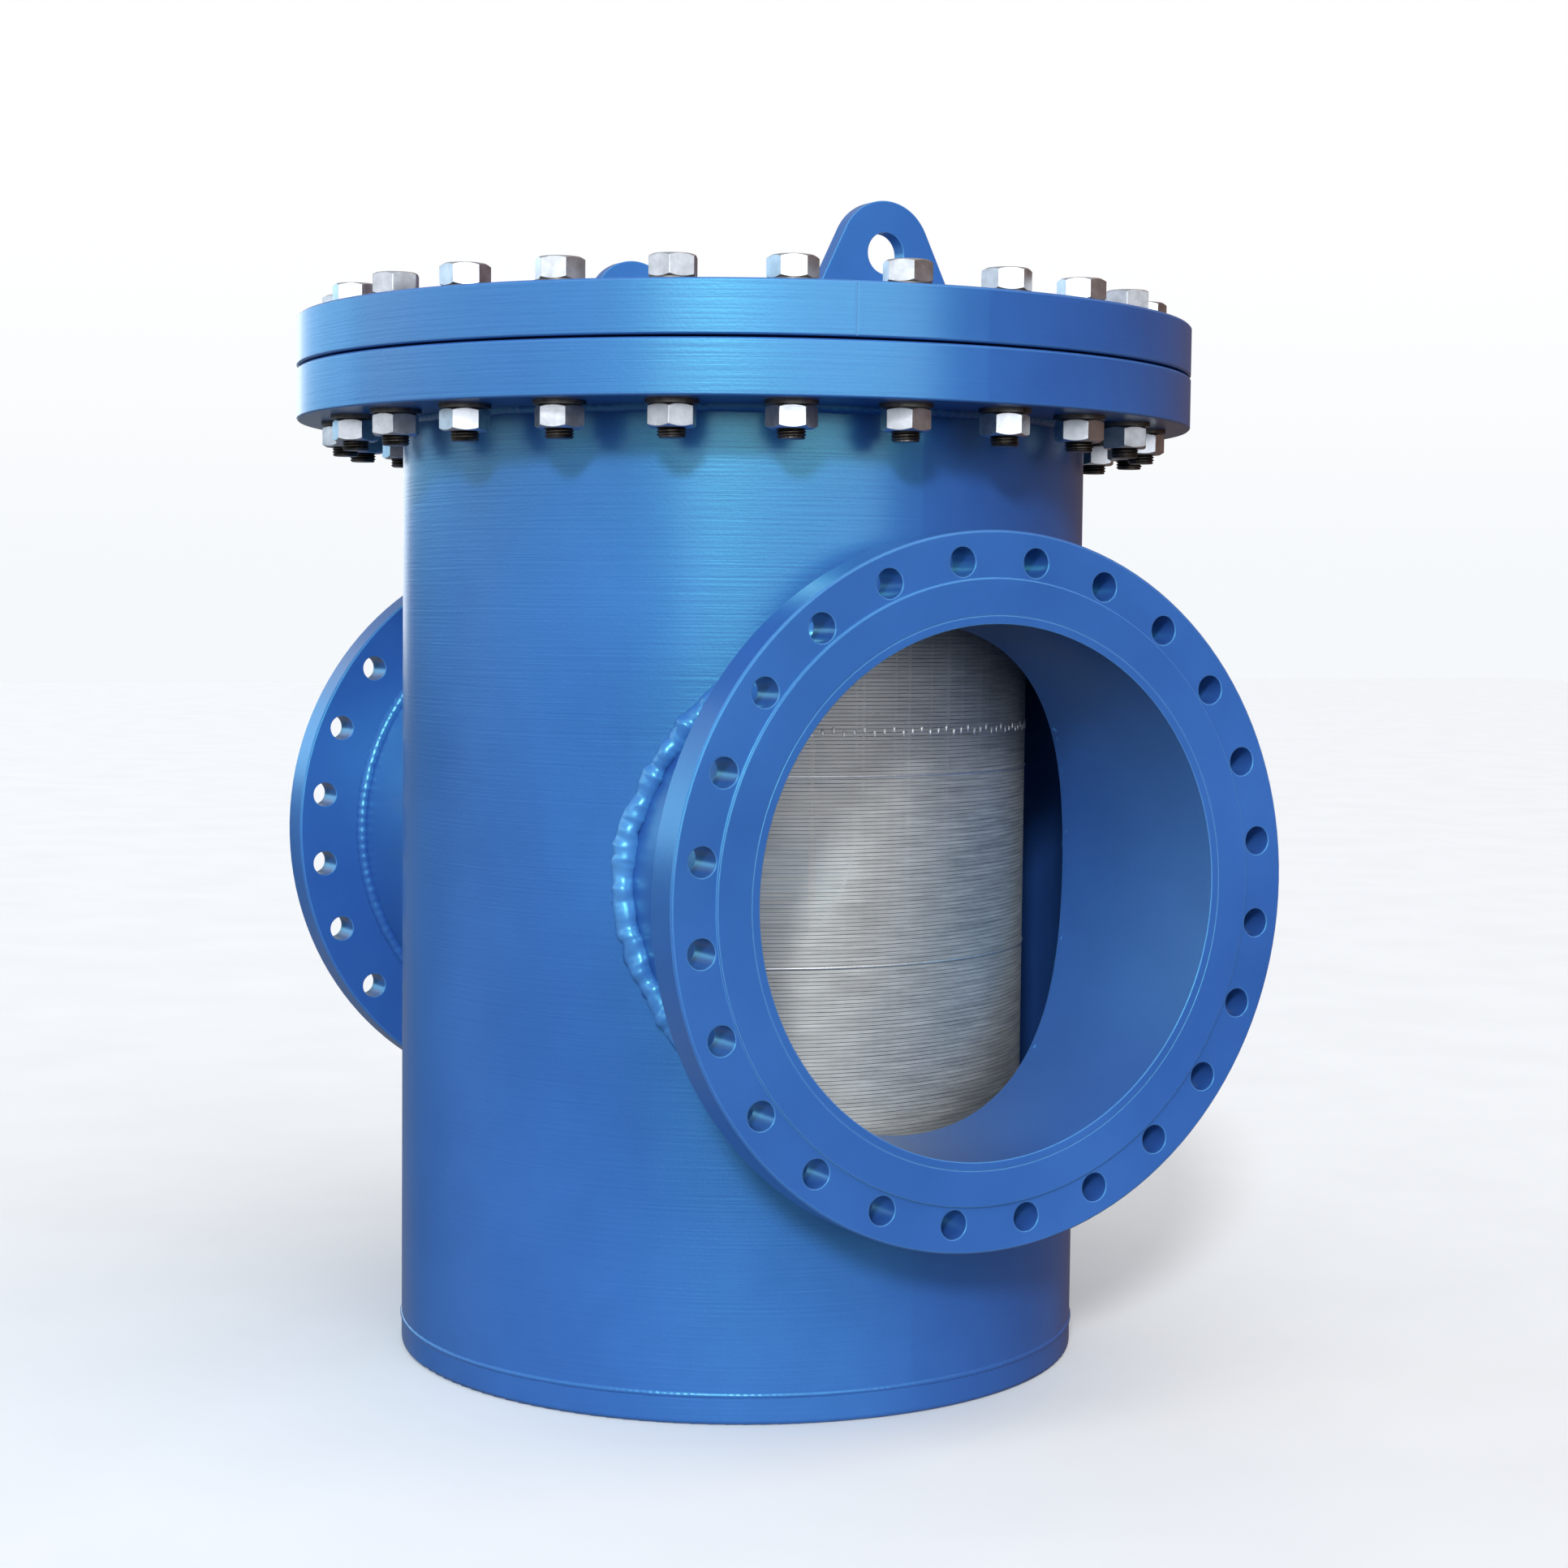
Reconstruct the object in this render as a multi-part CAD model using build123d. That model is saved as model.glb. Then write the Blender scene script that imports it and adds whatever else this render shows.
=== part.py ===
from build123d import *

import math
import os

# In-line basket strainer, flanged DN 600 (24 inch) nozzles, fabricated from steel pipe and plate.
# Millimetres.  +Z is up, the outlet faces +X and the inlet faces -X.
# The origin is the centre of the underside of the base plate.

# Nozzles: pipe 609.6 x 9.5 with plain flanges drilled 24 x 33 on 730.
PIPE_DIAMETER = 609.6
PIPE_WALL = 9.5
NOZZLE_STAND_OFF = 162  # from the shell to the flange face
NOZZLE_GROUND_CLEARANCE = 222.5
NOZZLE_BOLT_OFFSET = 60.2  # from the pipe to the bolt circle
NOZZLE_BOLT_EDGE = 32.5  # from the bolt circle to the flange's rim
NOZZLE_BOLT_COUNT = 24
NOZZLE_BOLT_HOLE = 33
NOZZLE_FLANGE_THICKNESS = 47
RAISED_FACE_INSET = 20  # from the bolt circle to the raised face
RAISED_FACE_HEIGHT = 3

# Body: a rolled shell on a flat base plate, with a flange at the top.
SHELL_WALL = 12
BASE_THICKNESS = 35
BASE_CORNER_RADIUS = 6
BODY_FLANGE_THICKNESS = 62
SHELL_SETBACK = 10  # the shell stops short of the flange face, where the inner weld sits
RIM_CHAMFER = 2

# Cover: a blind plate held by stud bolts with a nut and washer at each end.
COVER_THICKNESS = 60
COVER_GASKET_THICKNESS = 3
COVER_BOLT_OFFSET = 71  # from the shell to the bolt circle
COVER_BOLT_EDGE = 60  # from the bolt circle to the rim
COVER_BOLT_COUNT = 24
COVER_BOLT_CLEARANCE = 3
STUD_DIAMETER = 33
STUD_BELOW_NUT = 11
STUD_UNDER_NUT_TOP = 0.5
NUT_WALL = 8.5
NUT_HEIGHT = 26
NUT_CHAMFER = 3.5
NUT_TURN_STEP = 23  # each nut stops at its own angle
NUT_RUNNING_CLEARANCE = 0.05
WASHER_MARGIN = 5
WASHER_THICKNESS = 5
WASHER_BORE_CLEARANCE = 1
CUT_MARK_ANGLE = -16  # where the torch that cut the cover started
CUT_MARK_WIDTH = 1.6
CUT_MARK_DEPTH = 0.8

# Lifting lugs on the cover, one on each side of its centre.
LUG_INSET = 169  # from the bolt circle to the lug's middle
LUG_THICKNESS = 20
LUG_EYE_DIAMETER = 48
LUG_EYE_WALL = 36
LUG_EYE_HEIGHT = 60
LUG_BASE_WIDTH = 184
LUG_FOOT_HEIGHT = 10

# Basket: a wound wire screen on upright rods, with a port that meets the inlet.
SCREEN_THICKNESS = 3
SCREEN_SIDE_MARGIN = 30.7  # from the port's frame to the screen's side
SCREEN_TO_SHELL = 56
ROD_DIAMETER = 6
ROD_COUNT = 36
HOOP_COUNT = 4
HOOP_THICKNESS = 5
HOOP_WIDTH = 30
HOOP_END_DISTANCE = 110
FOOT_HEIGHT = 66
FOOT_THICKNESS = 6
LOCATING_RING_HEIGHT = 45
LOCATING_RING_WALL = 8
LOCATING_CLEARANCE = 4
PORT_FRAME_THICKNESS = 6
PORT_FRAME_WIDTH = 34
PORT_SEAL_THICKNESS = 3.5
PORT_SEAL_WIDTH = 24
PORT_SEAL_INSET = 4
PORT_CLEARANCE = 0.5
LAND_THICKNESS = 12
LAND_WIDTH = 22

# Seat in the shell, which the basket's top ring hangs on.
SEAT_ABOVE_PORT = 110.7  # from the port's frame to the seat's underside
SEAT_THICKNESS = 12
SEAT_CLEARANCE = 5.5  # beside the seal, which passes the seat when the basket is lifted
BASKET_GASKET_THICKNESS = 3
TOP_RING_THICKNESS = 12
TOP_RING_LIP = 20
TOP_RING_CLEARANCE = 4
BASKET_HEADROOM = 146  # from the seat to the body flange's face

# Hold-down posts under the cover, which keep the basket on its seat.
POST_COUNT = 4
POST_DIAMETER = 30
POST_INSET = 28
POST_GAP = 0.5

# Basket handles: two drop handles of round bar, each turning in a pair of ears on the top ring.
HANDLE_BAR_DIAMETER = 14
HANDLE_WIDTH = 120
HANDLE_LENGTH = 70
HANDLE_BEND_RADIUS = 16
HANDLE_PIN_PROUD = 6
HANDLE_HINGE_INSET = 30
HANDLE_HINGE_LIFT = 7  # from the top ring to the underside of the bar at its hinge
HANDLE_REST_GAP = 0.3
HINGE_CLEARANCE = 0.05
EAR_WALL = 6
EAR_FOOT_HEIGHT = 8
EAR_FOOT_MARGIN = 6
EAR_THICKNESS = 8
EAR_SIDE_GAP = 1

# Vent on the cover and drain at the foot of the shell, each a boss with a hexagon plug.
VENT_THREAD_DIAMETER = 26
VENT_BOSS_HEIGHT = 22
VENT_HEX_HEIGHT = 12
DRAIN_THREAD_DIAMETER = 34
DRAIN_BOSS_PROUD = 42
DRAIN_HEX_HEIGHT = 16
DRAIN_ANGLE = 135
DRAIN_ABOVE_BASE = 60
BOSS_WALL = 13
PLUG_HEX_MARGIN = 6
PLUG_CLEARANCE = 0.05
PLUG_STOP_SHORT = 4
PASSAGE_STEP = 4  # the hole behind a plug is this much smaller in radius than the plug

# Nozzles, worked out.
PIPE_RADIUS = PIPE_DIAMETER / 2
PIPE_BORE_RADIUS = PIPE_RADIUS - PIPE_WALL
NOZZLE_BOLT_RADIUS = PIPE_RADIUS + NOZZLE_BOLT_OFFSET
NOZZLE_FLANGE_RADIUS = NOZZLE_BOLT_RADIUS + NOZZLE_BOLT_EDGE
RAISED_FACE_RADIUS = NOZZLE_BOLT_RADIUS - RAISED_FACE_INSET
NOZZLE_HEIGHT = NOZZLE_FLANGE_RADIUS + NOZZLE_GROUND_CLEARANCE

# Radii, from the inlet port outwards to the shell and the cover's rim.
PORT_FRAME_OUTER = PIPE_BORE_RADIUS + PORT_FRAME_WIDTH
SCREEN_RADIUS = PORT_FRAME_OUTER + SCREEN_SIDE_MARGIN
SCREEN_BORE_RADIUS = SCREEN_RADIUS - SCREEN_THICKNESS
ROD_INNER_RADIUS = SCREEN_BORE_RADIUS - ROD_DIAMETER
FRAME_RADIUS = SCREEN_RADIUS + PORT_FRAME_THICKNESS
SEAL_RADIUS = FRAME_RADIUS + PORT_SEAL_THICKNESS
LAND_RADIUS = SEAL_RADIUS + PORT_CLEARANCE
SHELL_BORE_RADIUS = SCREEN_RADIUS + SCREEN_TO_SHELL
SHELL_RADIUS = SHELL_BORE_RADIUS + SHELL_WALL
NOZZLE_REACH = SHELL_RADIUS + NOZZLE_STAND_OFF
COVER_BOLT_RADIUS = SHELL_RADIUS + COVER_BOLT_OFFSET
COVER_RADIUS = COVER_BOLT_RADIUS + COVER_BOLT_EDGE
LUG_OFFSET = COVER_BOLT_RADIUS - LUG_INSET
SEAT_BORE_RADIUS = SEAL_RADIUS + SEAT_CLEARANCE
TOP_RING_RADIUS = SHELL_BORE_RADIUS - TOP_RING_CLEARANCE
TOP_RING_BORE_RADIUS = SCREEN_RADIUS - TOP_RING_LIP

# Heights, from the base plate upwards to the cover.
SCREEN_BOTTOM = FOOT_HEIGHT + FOOT_THICKNESS
SEAT_BOTTOM = NOZZLE_HEIGHT + PORT_FRAME_OUTER + SEAT_ABOVE_PORT
SEAT_TOP = SEAT_BOTTOM + SEAT_THICKNESS
TOP_RING_BOTTOM = SEAT_TOP + BASKET_GASKET_THICKNESS
TOP_RING_TOP = TOP_RING_BOTTOM + TOP_RING_THICKNESS
BODY_HEIGHT = SEAT_TOP + BASKET_HEADROOM
FLANGE_UNDERSIDE = BODY_HEIGHT - BODY_FLANGE_THICKNESS
COVER_BOTTOM = BODY_HEIGHT + COVER_GASKET_THICKNESS
COVER_TOP = COVER_BOTTOM + COVER_THICKNESS

# Fasteners and small parts, worked out.
STUD_RADIUS = STUD_DIAMETER / 2
COVER_HOLE_RADIUS = (STUD_DIAMETER + COVER_BOLT_CLEARANCE) / 2
NUT_ACROSS_FLATS = STUD_DIAMETER + 2 * NUT_WALL
WASHER_RADIUS = NUT_ACROSS_FLATS / 2 + WASHER_MARGIN
UPPER_NUT_BOTTOM = COVER_TOP + WASHER_THICKNESS
LOWER_NUT_BOTTOM = FLANGE_UNDERSIDE - WASHER_THICKNESS - NUT_HEIGHT
HANDLE_BAR_RADIUS = HANDLE_BAR_DIAMETER / 2
HINGE_HEIGHT = HANDLE_HINGE_LIFT + HANDLE_BAR_RADIUS
HINGE_Z = TOP_RING_TOP + HINGE_HEIGHT
HINGE_Y = TOP_RING_RADIUS - HANDLE_HINGE_INSET
FAR = 2 * (NOZZLE_REACH + COVER_TOP)  # past every face of the object


def disc(radius, bottom, top):
    """Upright cylinder on the body's axis."""
    return extrude(Pos(0, 0, bottom) * Circle(radius), top - bottom)


def ring(outer_radius, inner_radius, bottom, top):
    """Upright ring on the body's axis."""
    return disc(outer_radius, bottom, top) - disc(inner_radius, bottom, top)


def nozzle_disc(radius, start, end):
    """Cylinder on the nozzles' axis, from x = start to x = end."""
    plane = Plane(origin=(start, 0, NOZZLE_HEIGHT), x_dir=(0, 1, 0), z_dir=(1, 0, 0))
    return extrude(plane * Circle(radius), end - start)


def inlet_side(shape):
    """The same shape on the inlet's side of the body."""
    return mirror(shape, about=Plane.YZ)


def on_cover_bolts(shape):
    """Copies of a fastener on the cover's bolt circle, no two turned alike."""
    half_pitch = 180 / COVER_BOLT_COUNT
    copies = []
    for index in range(COVER_BOLT_COUNT):
        angle = half_pitch + index * 360 / COVER_BOLT_COUNT
        place = Rot(0, 0, angle) * Pos(COVER_BOLT_RADIUS, 0, 0) * Rot(0, 0, index * NUT_TURN_STEP)
        copies.append(place * shape)
    return Compound(children=copies)


def cover_bolt_holes(bottom, top):
    """Cutters for the holes that the cover's studs pass through."""
    hole = extrude(Pos(0, 0, bottom) * Circle(COVER_HOLE_RADIUS), top - bottom)
    return on_cover_bolts(hole)


def hexagon(across_flats, bottom, top, chamfer_size):
    """Hexagonal prism with its corners turned down at both ends."""
    corner_radius = across_flats / math.sqrt(3)
    turned = chamfer(
        disc(corner_radius, bottom, top).edges().filter_by(GeomType.CIRCLE),
        length=chamfer_size * math.tan(math.radians(30)),
        length2=chamfer_size,
    )
    prism = extrude(
        Pos(0, 0, bottom) * RegularPolygon(across_flats / 2, 6, major_radius=False), top - bottom
    )
    return turned & prism


def rim_edges(shape, radius):
    """Edges of an upright plate that lie on its outer rim."""
    circles = shape.edges().filter_by(GeomType.CIRCLE)
    return [edge for edge in circles if abs(edge.radius - radius) < 1e-6]


# Body


def base_plate():
    plate = disc(SHELL_RADIUS, 0, BASE_THICKNESS)
    return fillet(plate.edges().sort_by(Axis.Z)[0], BASE_CORNER_RADIUS)


def body_shell():
    shell = ring(SHELL_RADIUS, SHELL_BORE_RADIUS, BASE_THICKNESS, BODY_HEIGHT - SHELL_SETBACK)
    nozzle_holes = nozzle_disc(PIPE_RADIUS, -FAR, FAR)
    return shell - nozzle_holes - drain_passage()


def body_flange():
    flange = ring(COVER_RADIUS, SHELL_RADIUS, FLANGE_UNDERSIDE, BODY_HEIGHT)
    flange = chamfer(rim_edges(flange, COVER_RADIUS), RIM_CHAMFER)
    return flange - cover_bolt_holes(FLANGE_UNDERSIDE, BODY_HEIGHT)


def nozzle_pipe(end_radius):
    """Pipe from the flange face to where it is coped round an upright cylinder."""
    pipe = nozzle_disc(PIPE_RADIUS, 0, NOZZLE_REACH) - nozzle_disc(PIPE_BORE_RADIUS, 0, NOZZLE_REACH)
    return pipe - disc(end_radius, 0, BODY_HEIGHT)


def outlet_nozzle():
    return nozzle_pipe(SHELL_BORE_RADIUS)


def inlet_nozzle():
    return inlet_side(nozzle_pipe(LAND_RADIUS))


def nozzle_bolt_holes():
    half_pitch = 180 / NOZZLE_BOLT_COUNT
    hole = Pos(0, 0, NOZZLE_BOLT_RADIUS) * nozzle_disc(NOZZLE_BOLT_HOLE / 2, 0, NOZZLE_REACH)
    axis = Axis((0, 0, NOZZLE_HEIGHT), (1, 0, 0))
    holes = []
    for index in range(NOZZLE_BOLT_COUNT):
        holes.append(hole.rotate(axis, half_pitch + index * 360 / NOZZLE_BOLT_COUNT))
    return Compound(children=holes)


def outlet_flange():
    back = NOZZLE_REACH - RAISED_FACE_HEIGHT - NOZZLE_FLANGE_THICKNESS
    plate = nozzle_disc(NOZZLE_FLANGE_RADIUS, back, NOZZLE_REACH - RAISED_FACE_HEIGHT)
    plate = chamfer(rim_edges(plate, NOZZLE_FLANGE_RADIUS), RIM_CHAMFER)
    face = nozzle_disc(RAISED_FACE_RADIUS, back, NOZZLE_REACH)
    return plate + face - nozzle_disc(PIPE_RADIUS, 0, NOZZLE_REACH) - nozzle_bolt_holes()


def inlet_flange():
    return inlet_side(outlet_flange())


def inlet_seal_land():
    """Pad round the inlet pipe's inner end, which the basket's seal slides against."""
    band = ring(LAND_RADIUS + LAND_THICKNESS, LAND_RADIUS, 0, BODY_HEIGHT)
    window = nozzle_disc(PIPE_RADIUS + LAND_WIDTH, 0, FAR) - nozzle_disc(PIPE_RADIUS, 0, FAR)
    return inlet_side(band & window)


def basket_seat_ring():
    return ring(SHELL_BORE_RADIUS, SEAT_BORE_RADIUS, SEAT_BOTTOM, SEAT_TOP)


def basket_locating_ring():
    inner_radius = SCREEN_RADIUS + LOCATING_CLEARANCE
    top = BASE_THICKNESS + LOCATING_RING_HEIGHT
    return ring(inner_radius + LOCATING_RING_WALL, inner_radius, BASE_THICKNESS, top)


def cover_gasket():
    edge = COVER_BOLT_RADIUS - COVER_HOLE_RADIUS - WASHER_BORE_CLEARANCE
    return ring(edge, SHELL_RADIUS, BODY_HEIGHT, COVER_BOTTOM)


# Fasteners of the cover


def cover_studs():
    bottom = LOWER_NUT_BOTTOM - STUD_BELOW_NUT
    top = UPPER_NUT_BOTTOM + NUT_HEIGHT - STUD_UNDER_NUT_TOP
    stud = chamfer(disc(STUD_RADIUS, bottom, top).edges().filter_by(GeomType.CIRCLE), RIM_CHAMFER)
    return on_cover_bolts(stud)


def washers(bottom):
    bore_radius = STUD_RADIUS + WASHER_BORE_CLEARANCE
    return on_cover_bolts(ring(WASHER_RADIUS, bore_radius, bottom, bottom + WASHER_THICKNESS))


def upper_washers():
    return washers(COVER_TOP)


def lower_washers():
    return washers(FLANGE_UNDERSIDE - WASHER_THICKNESS)


def nuts(bottom, bore_radius):
    top = bottom + NUT_HEIGHT
    nut = hexagon(NUT_ACROSS_FLATS, bottom, top, NUT_CHAMFER) - disc(bore_radius, bottom, top)
    return on_cover_bolts(nut)


def upper_nuts():
    return nuts(UPPER_NUT_BOTTOM, STUD_RADIUS + NUT_RUNNING_CLEARANCE)


def lower_nuts():
    return nuts(LOWER_NUT_BOTTOM, STUD_RADIUS)


# Cover


def cover_plate():
    radius = COVER_RADIUS
    plate = disc(radius, COVER_BOTTOM, COVER_TOP)
    plate = chamfer(rim_edges(plate, radius), RIM_CHAMFER)
    mark = Pos(radius, 0, COVER_BOTTOM + COVER_THICKNESS / 2) * Box(
        2 * CUT_MARK_DEPTH, CUT_MARK_WIDTH, COVER_THICKNESS
    )
    vent_passage = disc(VENT_THREAD_DIAMETER / 2 - PASSAGE_STEP, COVER_BOTTOM, COVER_TOP)
    return plate - cover_bolt_holes(COVER_BOTTOM, COVER_TOP) - Rot(0, 0, CUT_MARK_ANGLE) * mark - vent_passage


def lifting_lug(offset):
    foot = Pos(0, LUG_FOOT_HEIGHT / 2) * Rectangle(LUG_BASE_WIDTH, LUG_FOOT_HEIGHT)
    crown = Pos(0, LUG_EYE_HEIGHT) * Circle(LUG_EYE_DIAMETER / 2 + LUG_EYE_WALL)
    eye = Pos(0, LUG_EYE_HEIGHT) * Circle(LUG_EYE_DIAMETER / 2)
    outline = make_hull(foot.edges() + crown.edges()) - eye
    upright = Plane(origin=(offset - LUG_THICKNESS / 2, 0, COVER_TOP), x_dir=(0, 1, 0), z_dir=(1, 0, 0))
    return extrude(upright * outline, LUG_THICKNESS)


def outlet_side_lug():
    return lifting_lug(LUG_OFFSET)


def inlet_side_lug():
    return lifting_lug(-LUG_OFFSET)


def hold_down_posts():
    first_angle = 180 / POST_COUNT
    post = extrude(
        Pos(TOP_RING_RADIUS - POST_INSET, 0, TOP_RING_TOP + POST_GAP) * Circle(POST_DIAMETER / 2),
        COVER_BOTTOM - TOP_RING_TOP - POST_GAP,
    )
    posts = [Rot(0, 0, first_angle + index * 360 / POST_COUNT) * post for index in range(POST_COUNT)]
    return Compound(children=posts)


# Vent and drain


def plug(thread_diameter, hex_height, depth):
    """Hexagon-headed plug standing on +Z, with its head's underside at the origin."""
    shank = disc(thread_diameter / 2 - PLUG_CLEARANCE, PLUG_STOP_SHORT - depth, 0)
    return shank + hexagon(thread_diameter + PLUG_HEX_MARGIN, 0, hex_height, RIM_CHAMFER)


def vent_boss():
    bore_radius = VENT_THREAD_DIAMETER / 2
    return ring(bore_radius + BOSS_WALL, bore_radius, COVER_TOP, COVER_TOP + VENT_BOSS_HEIGHT)


def vent_plug():
    seat = COVER_TOP + VENT_BOSS_HEIGHT
    return Pos(0, 0, seat) * plug(VENT_THREAD_DIAMETER, VENT_HEX_HEIGHT, VENT_BOSS_HEIGHT)


def drain_place(distance):
    """Frame on the drain's axis, its Z pointing out of the shell."""
    turned = Rot(0, 0, DRAIN_ANGLE) * Pos(distance, 0, BASE_THICKNESS + DRAIN_ABOVE_BASE)
    return turned * Rot(0, 90, 0)


def drain_rod(radius):
    start = SHELL_BORE_RADIUS - DRAIN_BOSS_PROUD
    return drain_place(start) * extrude(Circle(radius), SHELL_RADIUS + DRAIN_BOSS_PROUD - start)


def drain_passage():
    return drain_rod(DRAIN_THREAD_DIAMETER / 2 - PASSAGE_STEP)


def drain_boss():
    tube = drain_rod(DRAIN_THREAD_DIAMETER / 2 + BOSS_WALL) - drain_rod(DRAIN_THREAD_DIAMETER / 2)
    return tube - disc(SHELL_RADIUS, 0, BODY_HEIGHT)


def drain_plug():
    place = drain_place(SHELL_RADIUS + DRAIN_BOSS_PROUD)
    return place * plug(DRAIN_THREAD_DIAMETER, DRAIN_HEX_HEIGHT, DRAIN_BOSS_PROUD)


# Basket


def port_cutter(radius):
    """Cylinder through the basket's inlet side only."""
    return nozzle_disc(radius, -FAR, 0)


def basket_screen():
    wall = ring(SCREEN_RADIUS, SCREEN_BORE_RADIUS, SCREEN_BOTTOM, TOP_RING_BOTTOM)
    return wall - port_cutter(PIPE_BORE_RADIUS)


def basket_rods():
    """Upright rods inside the screen; the port interrupts those on the inlet's side."""
    rod = extrude(
        Pos(SCREEN_BORE_RADIUS - ROD_DIAMETER / 2, 0, SCREEN_BOTTOM) * Circle(ROD_DIAMETER / 2),
        TOP_RING_BOTTOM - SCREEN_BOTTOM,
    )
    cutter = port_cutter(PIPE_BORE_RADIUS)
    solids = []
    for index in range(ROD_COUNT):
        angle = (index + 0.5) * 360 / ROD_COUNT
        solids.extend((Rot(0, 0, angle) * rod - cutter).solids())
    return Compound(children=solids)


def basket_hoops():
    """Flat bands inside the rods; the port interrupts those at its height."""
    cutter = port_cutter(PIPE_BORE_RADIUS)
    lowest = SCREEN_BOTTOM + HOOP_END_DISTANCE
    pitch = (TOP_RING_BOTTOM - SCREEN_BOTTOM - 2 * HOOP_END_DISTANCE) / (HOOP_COUNT - 1)
    solids = []
    for index in range(HOOP_COUNT):
        bottom = lowest + index * pitch - HOOP_WIDTH / 2
        hoop = ring(ROD_INNER_RADIUS, ROD_INNER_RADIUS - HOOP_THICKNESS, bottom, bottom + HOOP_WIDTH)
        solids.extend((hoop - cutter).solids())
    return Compound(children=solids)


def basket_bottom():
    return disc(SCREEN_RADIUS, FOOT_HEIGHT, SCREEN_BOTTOM)


def basket_top_ring():
    return ring(TOP_RING_RADIUS, TOP_RING_BORE_RADIUS, TOP_RING_BOTTOM, TOP_RING_TOP)


def basket_gasket():
    return ring(TOP_RING_RADIUS, SEAT_BORE_RADIUS, SEAT_TOP, TOP_RING_BOTTOM)


def port_band(outer_radius, inner_radius, start_radius, width):
    """Part of an upright tube that lies in a circular band round the inlet's axis."""
    tube = ring(outer_radius, inner_radius, 0, BODY_HEIGHT)
    return tube & (port_cutter(start_radius + width) - port_cutter(start_radius))


def inlet_port_frame():
    return port_band(FRAME_RADIUS, SCREEN_RADIUS, PIPE_BORE_RADIUS, PORT_FRAME_WIDTH)


def inlet_port_seal():
    return port_band(SEAL_RADIUS, FRAME_RADIUS, PIPE_BORE_RADIUS + PORT_SEAL_INSET, PORT_SEAL_WIDTH)


def ear_offset():
    """Distance along the hinge from a handle's middle to the near face of an ear."""
    return HANDLE_WIDTH / 2 + HANDLE_BAR_RADIUS + EAR_SIDE_GAP


def handle_ears():
    """Four ears on the top ring, two for each handle."""
    eye_wall_radius = HANDLE_BAR_RADIUS + EAR_WALL
    crown = Pos(0, HINGE_HEIGHT) * Circle(eye_wall_radius)
    foot = Pos(0, EAR_FOOT_HEIGHT / 2) * Rectangle(2 * (eye_wall_radius + EAR_FOOT_MARGIN), EAR_FOOT_HEIGHT)
    eye = Pos(0, HINGE_HEIGHT) * Circle(HANDLE_BAR_RADIUS + HINGE_CLEARANCE)
    upright = Plane(origin=(ear_offset(), HINGE_Y, TOP_RING_TOP), x_dir=(0, 1, 0), z_dir=(1, 0, 0))
    ear = extrude(upright * (make_hull(crown.edges() + foot.edges()) - eye), EAR_THICKNESS)
    pair = [ear, mirror(ear, about=Plane.YZ)]
    return Compound(children=pair + [Rot(0, 0, 180) * one for one in pair])


def handle_droop():
    """Angle below level at which a lowered handle lies on the top ring's inner edge."""
    leg_side = HANDLE_WIDTH / 2 + HANDLE_BAR_RADIUS
    reach = HINGE_Y - math.sqrt(TOP_RING_BORE_RADIUS**2 - leg_side**2)
    slant = math.hypot(HINGE_HEIGHT, reach)
    bar_angle = math.asin((HANDLE_BAR_RADIUS + HANDLE_REST_GAP) / slant)
    return math.degrees(math.atan2(HINGE_HEIGHT, reach) - bar_angle)


def basket_handle():
    leg = HANDLE_WIDTH / 2
    grip_y = HINGE_Y - HANDLE_LENGTH
    corners = [(-leg, HINGE_Y), (-leg, grip_y), (leg, grip_y), (leg, HINGE_Y)]
    path = Polyline(*[(x, y, HINGE_Z) for x, y in corners])
    path = fillet(path.vertices().group_by(Axis.Y)[0], HANDLE_BEND_RADIUS)
    start = Plane(origin=(-leg, HINGE_Y, HINGE_Z), z_dir=(0, -1, 0))
    bar = sweep(start * Circle(HANDLE_BAR_RADIUS), path=path)
    inner_end = leg - HANDLE_BAR_RADIUS
    outer_end = ear_offset() + EAR_THICKNESS + HANDLE_PIN_PROUD
    hinge = Plane(origin=(inner_end, HINGE_Y, HINGE_Z), x_dir=(0, 1, 0), z_dir=(1, 0, 0))
    pin = extrude(hinge * Circle(HANDLE_BAR_RADIUS), outer_end - inner_end)
    bent_bar = bar + pin + mirror(pin, about=Plane.YZ)
    return bent_bar.rotate(Axis((0, HINGE_Y, HINGE_Z), (1, 0, 0)), handle_droop())


def left_basket_handle():
    return basket_handle()


def right_basket_handle():
    return Rot(0, 0, 180) * basket_handle()


NODES = (
    base_plate,
    body_shell,
    body_flange,
    inlet_nozzle,
    outlet_nozzle,
    inlet_flange,
    outlet_flange,
    inlet_seal_land,
    basket_seat_ring,
    basket_locating_ring,
    cover_gasket,
    cover_studs,
    lower_washers,
    lower_nuts,
    drain_boss,
    drain_plug,
    cover_plate,
    outlet_side_lug,
    inlet_side_lug,
    hold_down_posts,
    vent_boss,
    vent_plug,
    upper_washers,
    upper_nuts,
    basket_screen,
    basket_rods,
    basket_hoops,
    basket_bottom,
    basket_top_ring,
    basket_gasket,
    inlet_port_frame,
    inlet_port_seal,
    handle_ears,
    left_basket_handle,
    right_basket_handle,
)

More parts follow.
